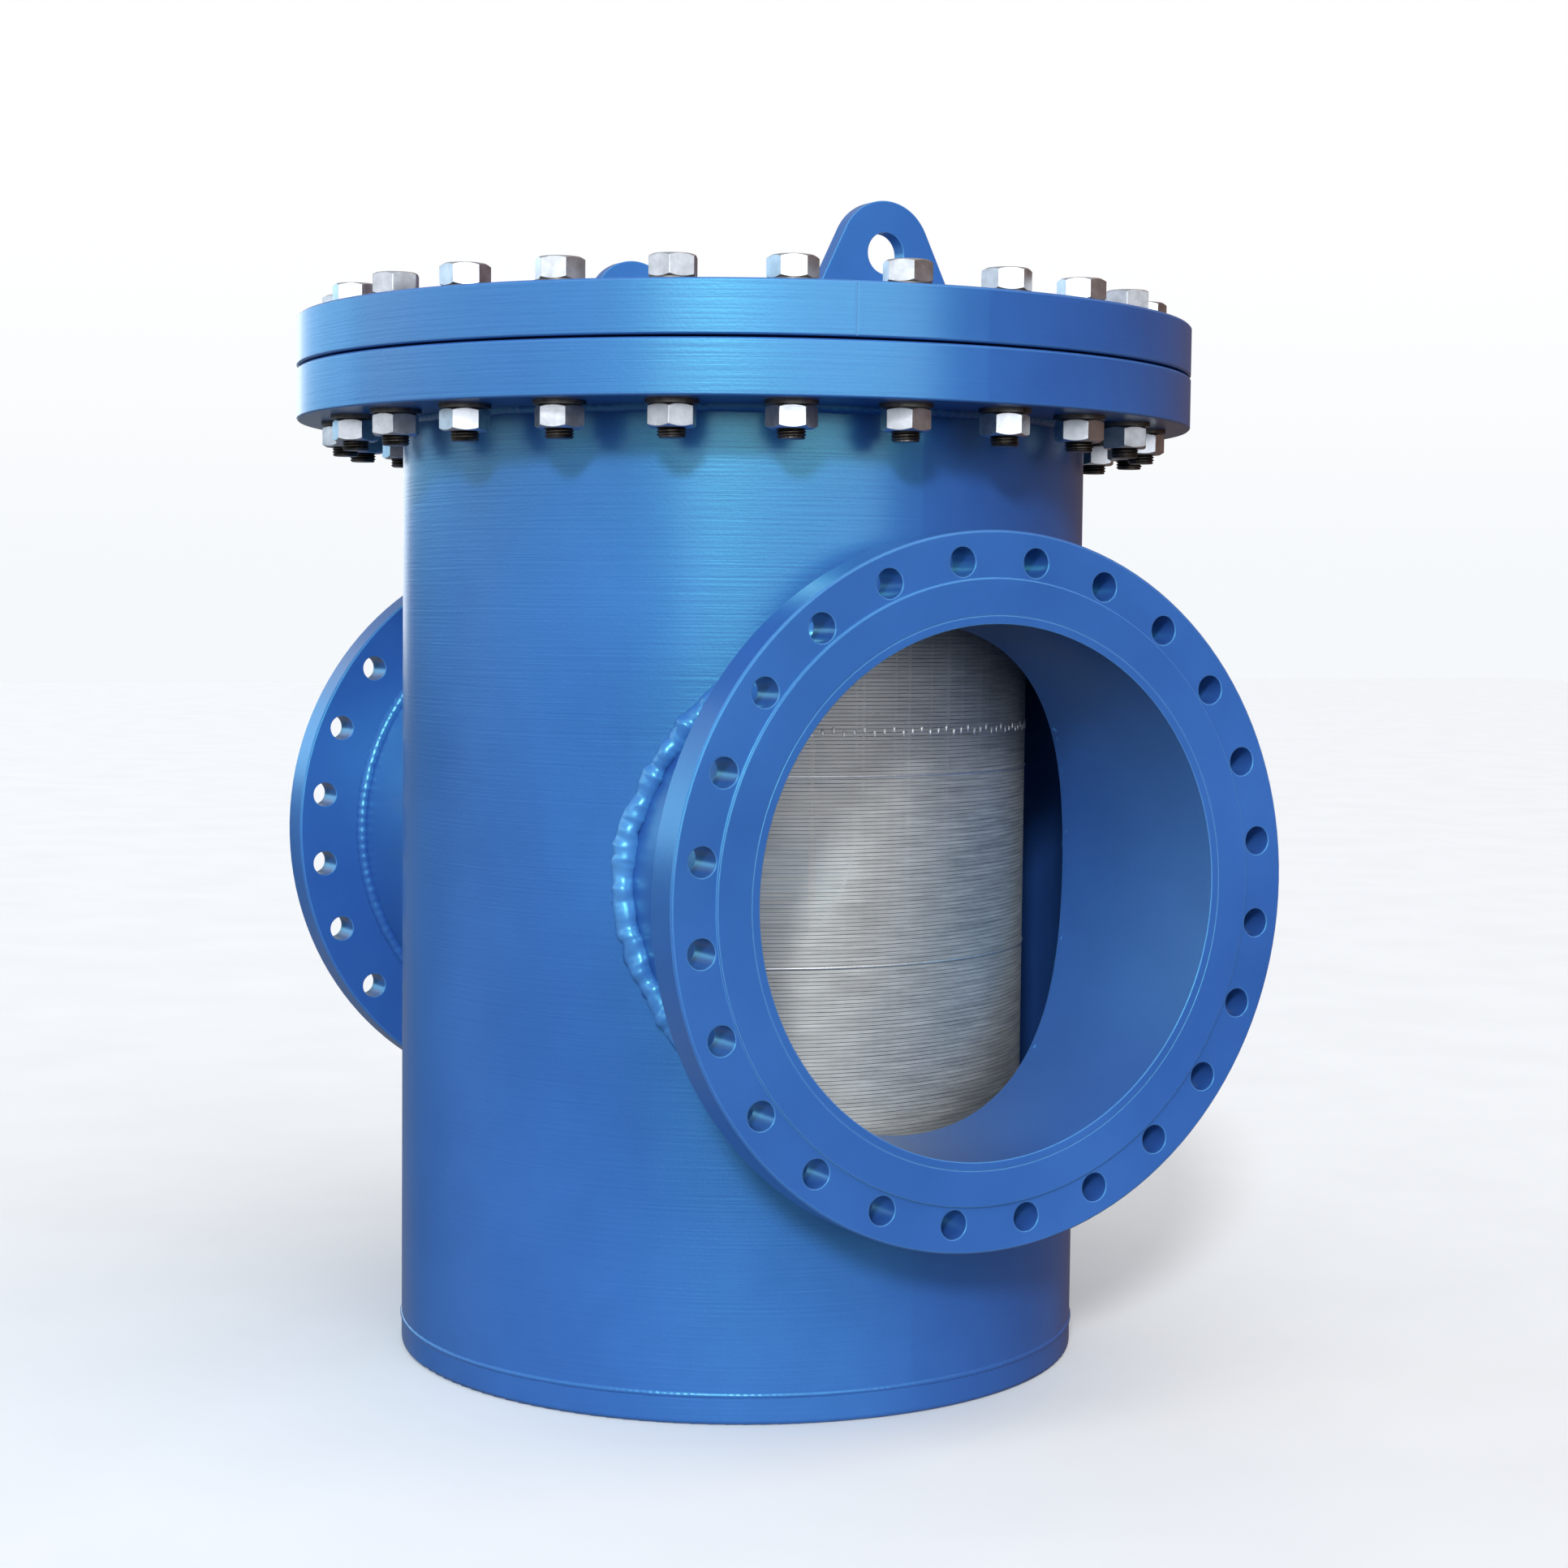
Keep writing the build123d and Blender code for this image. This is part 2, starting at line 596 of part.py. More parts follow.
os.makedirs("parts", exist_ok=True)
for node in NODES:
    export_step(node(), f"parts/{node.__name__}.step")
print(f"nozzles at {NOZZLE_HEIGHT:.1f}, faces at {NOZZLE_REACH:.1f}, bolts on {2 * NOZZLE_BOLT_RADIUS:.1f}")
print(f"body {2 * SHELL_RADIUS:.1f} across, flange face at {BODY_HEIGHT:.1f}, cover top at {COVER_TOP:.1f}")
print(f"cover {2 * COVER_RADIUS:.1f} across, bolts on {2 * COVER_BOLT_RADIUS:.1f}, lugs at {LUG_OFFSET:.1f}")
print(f"basket hangs at {TOP_RING_BOTTOM:.1f}, handle hinges at y {HINGE_Y:.2f} z {HINGE_Z:.2f}")
print(f"handles rest {handle_droop():.3f} degrees below level")
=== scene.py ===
import math
import bmesh
import bpy
from mathutils import Matrix, Vector


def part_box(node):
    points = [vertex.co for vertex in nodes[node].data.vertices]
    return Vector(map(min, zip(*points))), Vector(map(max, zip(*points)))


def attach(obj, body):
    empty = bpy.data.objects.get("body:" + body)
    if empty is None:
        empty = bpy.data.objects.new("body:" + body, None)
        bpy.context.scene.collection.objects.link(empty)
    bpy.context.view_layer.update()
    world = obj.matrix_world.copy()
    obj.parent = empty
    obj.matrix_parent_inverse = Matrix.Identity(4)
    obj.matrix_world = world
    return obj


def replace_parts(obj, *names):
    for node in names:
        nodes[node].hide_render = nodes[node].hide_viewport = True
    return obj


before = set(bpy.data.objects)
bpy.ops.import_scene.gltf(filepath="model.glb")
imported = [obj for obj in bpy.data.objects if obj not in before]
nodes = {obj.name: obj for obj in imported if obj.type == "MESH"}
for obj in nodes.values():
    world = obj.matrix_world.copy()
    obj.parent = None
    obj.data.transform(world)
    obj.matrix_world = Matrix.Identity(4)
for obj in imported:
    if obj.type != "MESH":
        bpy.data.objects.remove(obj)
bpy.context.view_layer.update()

# ---------------------------------------------------------------------------------------------------------
# Camera.  It stands level with the middle of the shell, a little to the near side of straight into the
# outlet's bore, and looks slightly down.
camera_place = Vector((3.111, -1.682, 0.925))
camera_heading = math.radians(60.71)  # anticlockwise from +Y
camera_dip = math.radians(3.53)
camera_roll = math.radians(0.59)
camera_data = bpy.data.cameras.new("camera")
camera_data.sensor_width = 36.0
camera_data.lens = 63.7
camera = bpy.data.objects.new("camera", camera_data)
camera.matrix_world = (
    Matrix.Translation(camera_place)
    @ Matrix.Rotation(camera_heading, 4, "Z")
    @ Matrix.Rotation(math.pi / 2 - camera_dip, 4, "X")
    @ Matrix.Rotation(camera_roll, 4, "Z")
)
bpy.context.scene.collection.objects.link(camera)
bpy.context.scene.camera = camera


# ---------------------------------------------------------------------------------------------------------
# Studio floor: plain and pale, of matt paint rolled on concrete, so its tone is faintly cloudy.
def linear(hex_colour):
    """An sRGB hex colour as the linear red, green, blue and alpha that Blender's sockets take."""
    channels = []
    for start in (1, 3, 5):
        value = int(hex_colour[start : start + 2], 16) / 255
        channels.append(value / 12.92 if value <= 0.04045 else ((value + 0.055) / 1.055) ** 2.4)
    return (*channels, 1.0)


def add(tree, kind, inputs=None, tones=None, **settings):
    """Adds a node with its settings, and links or sets its inputs.

    An input takes a value, a socket, or a node's first output.  A ramp's tones are hex colours, each by its
    place on the ramp.
    """
    made = tree.nodes.new(kind)
    for name, value in settings.items():
        setattr(made, name, value)
    if tones:
        for element, (position, tone) in zip(made.color_ramp.elements, tones.items()):
            element.position = position
            element.color = linear(tone)
    for socket, value in (inputs or {}).items():
        if isinstance(value, bpy.types.Node):
            value = next(output for output in value.outputs if output.enabled)
        if isinstance(value, bpy.types.NodeSocket):
            tree.links.new(value, made.inputs[socket])
        else:
            made.inputs[socket].default_value = value
    return made


def new_material(name):
    """An empty node material, its tree, and the coordinates that its patterns follow."""
    material = bpy.data.materials.new(name)
    material.use_nodes = True
    tree = material.node_tree
    tree.nodes.clear()
    return material, tree, add(tree, "ShaderNodeTexCoord").outputs["Object"]


def floor_paint():
    """Matt paint, cloudy over about 330 mm."""
    material, tree, place = new_material("pale_floor_paint")
    clouds = add(tree, "ShaderNodeTexNoise", {"Vector": place, "Scale": 3.0, "Detail": 4.0})
    tone = add(tree, "ShaderNodeValToRGB", {"Fac": clouds}, tones={0.3: "#F0F0EF", 0.7: "#F4F4F3"})
    shader = add(tree, "ShaderNodeBsdfPrincipled", {"Base Color": tone, "Roughness": 0.75})
    add(tree, "ShaderNodeOutputMaterial", {"Surface": shader})
    return material


def mesh_object(name, verts, faces):
    """A mesh object with its place in its mesh."""
    mesh = bpy.data.meshes.new(name)
    mesh.from_pydata([tuple(v) for v in verts], [], faces)
    made = bpy.data.objects.new(name, mesh)
    bpy.context.scene.collection.objects.link(made)
    return made


floor_half_width = 30.0
corners = [(-1, -1), (1, -1), (1, 1), (-1, 1)]
floor_corners = [(x * floor_half_width, y * floor_half_width, 0) for x, y in corners]
floor = mesh_object("floor", floor_corners, [(0, 1, 2, 3)])
floor.data.materials.append(floor_paint())
# The floor takes the strainer's shadow, but neither lights it nor is mirrored in its paint.
floor.visible_glossy = False
floor.visible_diffuse = False

# ---------------------------------------------------------------------------------------------------------
# Studio light.  A tall window faces the outlet's near side, pale walls carry on from it round the near
# side, a window and a door stand behind the inlet, and the far side is dim, with brown doors.
sky = bpy.data.worlds.new("studio_surround")
sky.use_nodes = True
bpy.context.scene.world = sky
tree = sky.node_tree
tree.nodes.clear()
direction = add(tree, "ShaderNodeTexCoord").outputs["Generated"]
rise = add(tree, "ShaderNodeSeparateXYZ", {"Vector": direction}).outputs["Z"]
smooth_step = {"interpolation_type": "SMOOTHSTEP"}


def cosine_from(heading):
    """The cosine of the angle between a direction and a level heading, which is in degrees from +X."""
    level = (math.cos(math.radians(heading)), math.sin(math.radians(heading)), 0.0)
    across = add(tree, "ShaderNodeVectorMath", {0: direction, 1: level}, operation="DOT_PRODUCT")
    return across.outputs["Value"]


ceiling_glow = {"Value": rise, "From Min": -0.1, "From Max": 0.9, "To Min": 0.24, "To Max": 0.6}
glow = add(tree, "ShaderNodeMapRange", ceiling_glow, **smooth_step)
# Each part has its heading from +X, the cosines off that heading where its light starts and is full, the
# heights where it starts and where it has faded out, and its strength.  A height is the upward part of a
# direction, from 0 at the horizon to 1 overhead.
bright_parts = {
    "window": (-16, 0.78, 0.86, 0.0, 0.32, 2.8),
    "near_walls": (-66, 0.04, 0.16, 0.04, 0.42, 2.0),
    "inlet_door": (167, 0.975, 0.99, -0.04, 0.42, 2.2),
    "inlet_window": (-166, 0.90, 0.95, 0.03, 0.42, 2.2),
}
sill_blur = 0.04
fade_start = 0.16
for heading, start, full, bottom, top, brightness in bright_parts.values():
    sideways = {"Value": cosine_from(heading), "From Min": start, "From Max": full}
    across = add(tree, "ShaderNodeMapRange", sideways, **smooth_step)
    sill = {"Value": rise, "From Min": bottom, "From Max": bottom + sill_blur}
    sill = add(tree, "ShaderNodeMapRange", sill, **smooth_step)
    fade = {"Value": rise, "From Min": top, "From Max": fade_start, "To Max": brightness}
    upwards = add(tree, "ShaderNodeMapRange", fade, **smooth_step)
    patch = add(tree, "ShaderNodeMath", {0: across, 1: upwards}, operation="MULTIPLY")
    glow = add(tree, "ShaderNodeMath", {0: patch, 1: sill, 2: glow}, operation="MULTIPLY_ADD")
# The brown doors tint the light from the far side.
doors = {"Value": cosine_from(90), "From Min": 0.3, "From Max": 0.7}
doors = add(tree, "ShaderNodeMapRange", doors, **smooth_step)
tint = {"Factor": doors, "A": linear("#F0F6FF"), "B": linear("#CFA898")}
tint = add(tree, "ShaderNodeMix", tint, data_type="RGBA")
# Blue sky shows through the inlet window.
outdoors = {"Value": cosine_from(-157), "From Min": 0.90, "From Max": 0.97}
outdoors = add(tree, "ShaderNodeMapRange", outdoors, **smooth_step)
tint = {"Factor": outdoors, "A": tint, "B": linear("#A4DAFF")}
tint = add(tree, "ShaderNodeMix", tint, data_type="RGBA")
lighting = add(tree, "ShaderNodeBackground", {"Color": tint, "Strength": glow})
# Seen directly, the surround is a plain white backdrop that takes the floor's tone at the floor line.
fade = add(tree, "ShaderNodeMapRange", {"Value": rise, "From Max": 0.14}, **smooth_step)
white = {"Factor": fade, "A": linear("#F6F9FC"), "B": linear("#FFFFFF")}
white = add(tree, "ShaderNodeMix", white, data_type="RGBA")
backdrop = add(tree, "ShaderNodeBackground", {"Color": white})
seen = add(tree, "ShaderNodeLightPath").outputs["Is Camera Ray"]
surround = add(tree, "ShaderNodeMixShader", {0: seen, 1: lighting, 2: backdrop})
add(tree, "ShaderNodeOutputWorld", {"Surface": surround})
bpy.context.scene.view_settings.view_transform = "Standard"


def distant_light(name, heading, height, spread, power, colour):
    """A far light at a heading from +X and a height above the floor line, all in degrees."""
    data = bpy.data.lights.new(name, "SUN")
    data.angle = math.radians(spread)
    data.energy = power
    data.color = linear(colour)[:3]
    made = bpy.data.objects.new(name, data)
    made.rotation_euler = (0.0, math.radians(90 - height), math.radians(heading))
    bpy.context.scene.collection.objects.link(made)


distant_light("overhead_light", heading=10.0, height=58.0, spread=70.0, power=1.0, colour="#FFFFFF")
distant_light("key_light", heading=-36.0, height=24.0, spread=7.0, power=2.2, colour="#F4FBFF")


# ---------------------------------------------------------------------------------------------------------
# Blue enamel on every fabricated part: alkyd gloss enamel brushed and rolled over shot-blasted steel plate.
# It shows fine level brush marks round the shell, a soft mottle where coats overlap, and a painted highlight
# along every edge, paled towards the highlights' cyan, which also stands for paint run thin there.
# Straight-on highlights on it are cyan, not white.
def blue_enamel(name, brushed=False, dark="#2A4F97", light="#355FAA"):
    """Enamel laid on with level brush strokes, or rolled without marks, between a dark and a light tone."""
    material, tree, place = new_material(name)
    # Painted edge highlight, also standing for paint run thin: near an edge the colour pales towards cyan.
    rounded = add(tree, "ShaderNodeBevel", {"Radius": 0.0024}, samples=4)
    sharp = add(tree, "ShaderNodeNewGeometry").outputs["Normal"]
    alike = add(tree, "ShaderNodeVectorMath", {0: rounded, 1: sharp}, operation="DOT_PRODUCT")
    edge = {"Value": alike.outputs["Value"], "From Min": 0.99, "From Max": 0.80, "To Max": 0.75}
    edge = add(tree, "ShaderNodeMapRange", edge)
    # The coats' mottle is about 290 mm across.
    coats = {"Vector": place, "Scale": 3.5, "Detail": 5.0, "Roughness": 0.6}
    coats = add(tree, "ShaderNodeTexNoise", coats)
    blue = add(tree, "ShaderNodeValToRGB", {"Fac": coats}, tones={0.30: dark, 0.72: light})
    # The painted edge highlight mixed into the paint's colour.
    thin_paint_and_edge_highlight = {"Factor": edge, "A": blue, "B": linear("#6FAFEA")}
    thin_paint_and_edge_highlight = add(tree, "ShaderNodeMix", thin_paint_and_edge_highlight, data_type="RGBA")
    # Orange peel, about 4 mm across.
    height = add(tree, "ShaderNodeTexNoise", {"Vector": place, "Scale": 260.0, "Detail": 2.0})
    if brushed:
        # Bristle marks 3 mm apart and 200 mm long, wider than real ones so that they show.
        level = add(tree, "ShaderNodeMapping", {"Vector": place, "Scale": (5.0, 5.0, 340.0)})
        marks = add(tree, "ShaderNodeTexNoise", {"Vector": level, "Scale": 1.0, "Detail": 3.0})
        height = add(tree, "ShaderNodeMath", {0: marks, 1: 1.8, 2: height}, operation="MULTIPLY_ADD")
    bump = {"Height": height, "Distance": 0.00035, "Strength": 0.35, "Normal": rounded}
    gloss = {
        "Base Color": thin_paint_and_edge_highlight,
        "Roughness": add(tree, "ShaderNodeMapRange", {"Value": coats, "To Min": 0.28, "To Max": 0.38}),
        "Normal": add(tree, "ShaderNodeBump", bump),
        "IOR": 1.56,
        "Specular IOR Level": 1.0,
        "Specular Tint": linear("#78FFFF"),
        "Coat Weight": 0.3,
        "Coat Roughness": 0.2,
    }
    shader = add(tree, "ShaderNodeBsdfPrincipled", gloss)
    add(tree, "ShaderNodeOutputMaterial", {"Surface": shader})
    return material


def paint(material, *names):
    """Gives CAD nodes their finish."""
    for name in names:
        nodes[name].data.materials.clear()
        nodes[name].data.materials.append(material)


brushed_enamel = blue_enamel("brushed_blue_enamel", True)
rolled_enamel = blue_enamel("rolled_blue_enamel")
paint(brushed_enamel, "body_shell", "base_plate", "cover_plate", "body_flange")
paint(rolled_enamel, "inlet_nozzle", "outlet_nozzle", "inlet_flange", "outlet_flange")
paint(rolled_enamel, "outlet_side_lug", "inlet_side_lug", "hold_down_posts", "vent_boss", "drain_boss")
paint(rolled_enamel, "inlet_seal_land", "basket_seat_ring", "basket_locating_ring")


# ---------------------------------------------------------------------------------------------------------
# Welds: beads run by hand along the joints of the body and of the cover's fittings, then painted over.
# Each is a rounded ridge with the ripples of the weld pool, coarsest where a nozzle meets the shell.
def geometry_tree(name, sockets):
    """A Geometry Nodes tree with the named inputs, and its Group Input's outputs."""
    tree = bpy.data.node_groups.new(name, "GeometryNodeTree")
    tree.interface.new_socket("Geometry", in_out="INPUT", socket_type="NodeSocketGeometry")
    for socket, kind in sockets.items():
        tree.interface.new_socket(socket, in_out="INPUT", socket_type="NodeSocket" + kind)
    tree.interface.new_socket("Geometry", in_out="OUTPUT", socket_type="NodeSocketGeometry")
    return tree, tree.nodes.new("NodeGroupInput").outputs


def end_tree(tree, geometry, material, smooth):
    """Ends a tree in real geometry, shaded smooth or flat, with its material."""
    real = add(tree, "GeometryNodeRealizeInstances", {"Geometry": geometry})
    shaded = add(tree, "GeometryNodeSetShadeSmooth", {"Geometry": real, "Shade Smooth": smooth})
    finished = add(tree, "GeometryNodeSetMaterial", {"Geometry": shaded, "Material": material})
    add(tree, "NodeGroupOutput", {"Geometry": finished})


def grow(name, tree, values, body, verts=(), edges=()):
    """Runs a tree on some points and edges, and keeps the result as a plain mesh that rides on a body."""
    path = bpy.data.meshes.new(name + "_path")
    path.from_pydata([tuple(v) for v in verts], list(edges), [])
    made = bpy.data.objects.new(name, path)
    bpy.context.scene.collection.objects.link(made)
    modifier = made.modifiers.new("grow", "NODES")
    modifier.node_group = tree
    given = [item for item in tree.interface.items_tree if item.in_out == "INPUT"]
    sockets = {item.name: item.identifier for item in given}
    for socket, value in values.items():
        modifier[sockets[socket]] = value
    grown = made.evaluated_get(bpy.context.evaluated_depsgraph_get())
    finished = bpy.data.meshes.new_from_object(grown)
    made.modifiers.remove(modifier)
    made.data = finished
    finished.name = name
    bpy.data.meshes.remove(path)
    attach(made, body)
    return made


def weld_bead_tree():
    """A bead along the given edges: a round section that swells with each ripple and with slow noise.

    Ripple height and unevenness are shares of the bead's radius.
    """
    kinds = {
        "Bead Radius": "Float",
        "Half Ripple": "Float",
        "Unevenness": "Float",
        "Seed": "Float",
        "Metal": "Material",
    }
    tree, given = geometry_tree("weld_bead", kinds)
    path = add(tree, "GeometryNodeMeshToCurve", {"Mesh": given["Geometry"]})
    # Eight points make one ripple.
    step = add(tree, "ShaderNodeMath", {0: given["Half Ripple"], 1: 0.25}, operation="MULTIPLY")
    path = add(tree, "GeometryNodeResampleCurve", {"Curve": path, "Length": step}, mode="LENGTH")
    run = add(tree, "GeometryNodeSplineParameter").outputs["Length"]
    marked = {"Geometry": path, "Name": "run", "Value": run}
    path = add(tree, "GeometryNodeStoreNamedAttribute", marked, data_type="FLOAT", domain="POINT")
    section = {"Resolution": 10, "Radius": given["Bead Radius"]}
    section = add(tree, "GeometryNodeCurvePrimitiveCircle", section)
    bead = {"Curve": path, "Profile Curve": section, "Fill Caps": True}
    bead = add(tree, "GeometryNodeCurveToMesh", bead)
    run = add(tree, "GeometryNodeInputNamedAttribute", {"Name": "run"}, data_type="FLOAT")
    ripples = add(tree, "ShaderNodeMath", {0: run, 1: given["Half Ripple"]}, operation="DIVIDE")
    wave = add(tree, "ShaderNodeMath", {0: ripples, 1: 1.0}, operation="PINGPONG")
    # Lumps are about 26 mm apart.
    noise = {"W": given["Seed"], "Scale": 38.0, "Detail": 3.0}
    lump = add(tree, "ShaderNodeTexNoise", noise, noise_dimensions="4D").outputs["Fac"]
    lump = add(tree, "ShaderNodeMath", {0: lump, 1: 0.5}, operation="SUBTRACT")
    ripple_height = 0.08
    swell = add(tree, "ShaderNodeMath", {0: wave, 1: ripple_height}, operation="MULTIPLY")
    swell = {0: lump, 1: given["Unevenness"], 2: swell}
    swell = add(tree, "ShaderNodeMath", swell, operation="MULTIPLY_ADD")
    swell = add(tree, "ShaderNodeMath", {0: swell, 1: given["Bead Radius"]}, operation="MULTIPLY")
    outwards = add(tree, "GeometryNodeInputNormal").outputs["Normal"]
    offset = add(tree, "ShaderNodeVectorMath", {0: outwards, "Scale": swell}, operation="SCALE")
    bead = add(tree, "GeometryNodeSetPosition", {"Geometry": bead, "Offset": offset})
    end_tree(tree, bead, given["Metal"], True)
    return tree


bead_tree = weld_bead_tree()
# The paint has run off the ridges of the coarsest beads, so they are paler.
thin_enamel = blue_enamel("thin_blue_enamel", dark="#3466AE", light="#5792D2")


def weld(
    name, points, radius, body="body", finish=rolled_enamel, unevenness=0.5, closed=True
):
    """A weld bead along the points, with ripples that are longer on a thicker bead."""
    values = {
        "Bead Radius": radius,
        "Half Ripple": 0.5 * radius + 0.002,
        "Unevenness": unevenness,
        "Seed": float(len(name)),
        "Metal": finish,
    }
    edges = [(index, index + 1) for index in range(len(points) - 1)]
    if closed:
        edges.append((len(points) - 1, 0))
    return grow(name, bead_tree, values, body, points, edges)


def arc(radius, height, start=0.0, end=360.0, count=180):
    """Points on a level circle or arc, from one angle to another in degrees."""
    turns = [math.radians(start + (end - start) * index / count) for index in range(count)]
    return [(radius * math.cos(turn), radius * math.sin(turn), height) for turn in turns]


def pipe_circle(x, radius, count=180):
    """Points on a circle round the nozzles' axis, at x."""
    turns = [2 * math.pi * index / count for index in range(count)]
    return [(x, radius * math.sin(turn), nozzle_height + radius * math.cos(turn)) for turn in turns]


def saddle(side, radius, proud):
    """Points just proud of the shell, where a pipe on the nozzles' axis meets it."""
    reach = (shell_radius + proud) ** 2
    return [(side * math.sqrt(reach - y**2), y, z) for _, y, z in pipe_circle(0.0, radius)]


shell_low, shell_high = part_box("body_shell")
shell_radius = shell_high[0]
pipe_low, pipe_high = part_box("outlet_nozzle")
nozzle_height = (pipe_low[2] + pipe_high[2]) / 2
pipe_radius = (pipe_high[2] - pipe_low[2]) / 2
flange_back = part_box("outlet_flange")[0][0]
# The beads on pipes and under the body flange stand off their walls, so none shows through to the inside.
stand_off = 0.003
for side, where in ((1, "outlet"), (-1, "inlet")):
    saddle_path = saddle(side, pipe_radius + 2 * stand_off, stand_off)
    weld(where + "_saddle_weld", saddle_path, radius=0.013, finish=thin_enamel, unevenness=1.9)
    flange_path = pipe_circle(side * (flange_back - stand_off), pipe_radius + stand_off)
    weld(where + "_flange_weld", flange_path, radius=0.008)
# The base plate is flush with the shell, so most of this bead is sunk in their joint.
base_weld_sunk = 0.0025
weld("base_weld", arc(shell_radius - base_weld_sunk, shell_low[2]), radius=0.004)
flange_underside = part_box("body_flange")[0][2]
weld("body_flange_weld", arc(shell_radius + stand_off, flange_underside), radius=0.008)

cover_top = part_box("cover_plate")[1][2]
for name in ("outlet_side_lug", "inlet_side_lug"):
    (x_low, y_low, _), (x_high, y_high, _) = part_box(name)
    foot = [(x_low, y_low), (x_high, y_low), (x_high, y_high), (x_low, y_high)]
    weld(name + "_weld", [(x, y, cover_top) for x, y in foot], radius=0.006, body="cover")
vent_foot = arc(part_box("vent_boss")[1][0], cover_top, count=48)
weld("vent_boss_weld", vent_foot, radius=0.004, body="cover")

drain_low, drain_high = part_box("drain_boss")
drain_height = (drain_low[2] + drain_high[2]) / 2
drain_radius = (drain_high[2] - drain_low[2]) / 2
drain_turn = math.radians(135.0)
drain_foot = []
foot_points = 48
for index in range(foot_points):
    turn = 2 * math.pi * index / foot_points
    sideways = drain_radius * math.cos(turn)
    out = math.sqrt(shell_radius**2 - sideways**2)
    x = out * math.cos(drain_turn) - sideways * math.sin(drain_turn)
    y = out * math.sin(drain_turn) + sideways * math.cos(drain_turn)
    drain_foot.append((x, y, drain_height + drain_radius * math.sin(turn)))
weld("drain_boss_weld", drain_foot, radius=0.005)


# ---------------------------------------------------------------------------------------------------------
# Basket: rods, hoops, a bottom, a top ring and the inlet port's frame, cut and rolled from stainless plate
# and bar.  The handles and their ears are bent and cut from the same steel.
def stainless(name, dark, light, smoothest, roughest, grain_scale):
    """Bare stainless steel with a grain, whose scale is in marks per metre along each axis."""
    material, tree, place = new_material(name)
    # Its tone also drifts over about 250 mm.
    clouds = {"Vector": place, "Scale": 4.0, "Detail": 6.0, "Roughness": 0.62}
    clouds = add(tree, "ShaderNodeTexNoise", clouds)
    streaks = add(tree, "ShaderNodeMapping", {"Vector": place, "Scale": grain_scale})
    grain = add(tree, "ShaderNodeTexNoise", {"Vector": streaks, "Scale": 1.0, "Detail": 4.0})
    both = add(tree, "ShaderNodeMath", {0: clouds, 1: grain}, operation="ADD")
    half = add(tree, "ShaderNodeMath", {0: both, 1: 0.5}, operation="MULTIPLY")
    roughness = {"Value": grain, "To Min": smoothest, "To Max": roughest}
    bump = {"Height": grain, "Distance": 0.0001, "Strength": 0.3}
    metal = {
        "Base Color": add(tree, "ShaderNodeValToRGB", {"Fac": half}, tones={0.36: dark, 0.64: light}),
        "Metallic": 1.0,
        "Roughness": add(tree, "ShaderNodeMapRange", roughness),
        "Normal": add(tree, "ShaderNodeBump", bump),
    }
    shader = add(tree, "ShaderNodeBsdfPrincipled", metal)
    add(tree, "ShaderNodeOutputMaterial", {"Surface": shader})
    return material


# Mill grain 1 mm apart, which is coarser than the real one so that it shows.
mill_grain = (12.0, 12.0, 900.0)
plate_steel = stainless("stainless_plate", "#A6A5A1", "#CFCFCD", 0.28, 0.48, mill_grain)
paint(plate_steel, "basket_top_ring", "basket_bottom", "basket_hoops", "basket_rods", "inlet_port_frame")
paint(plate_steel, "handle_ears", "left_basket_handle", "right_basket_handle")


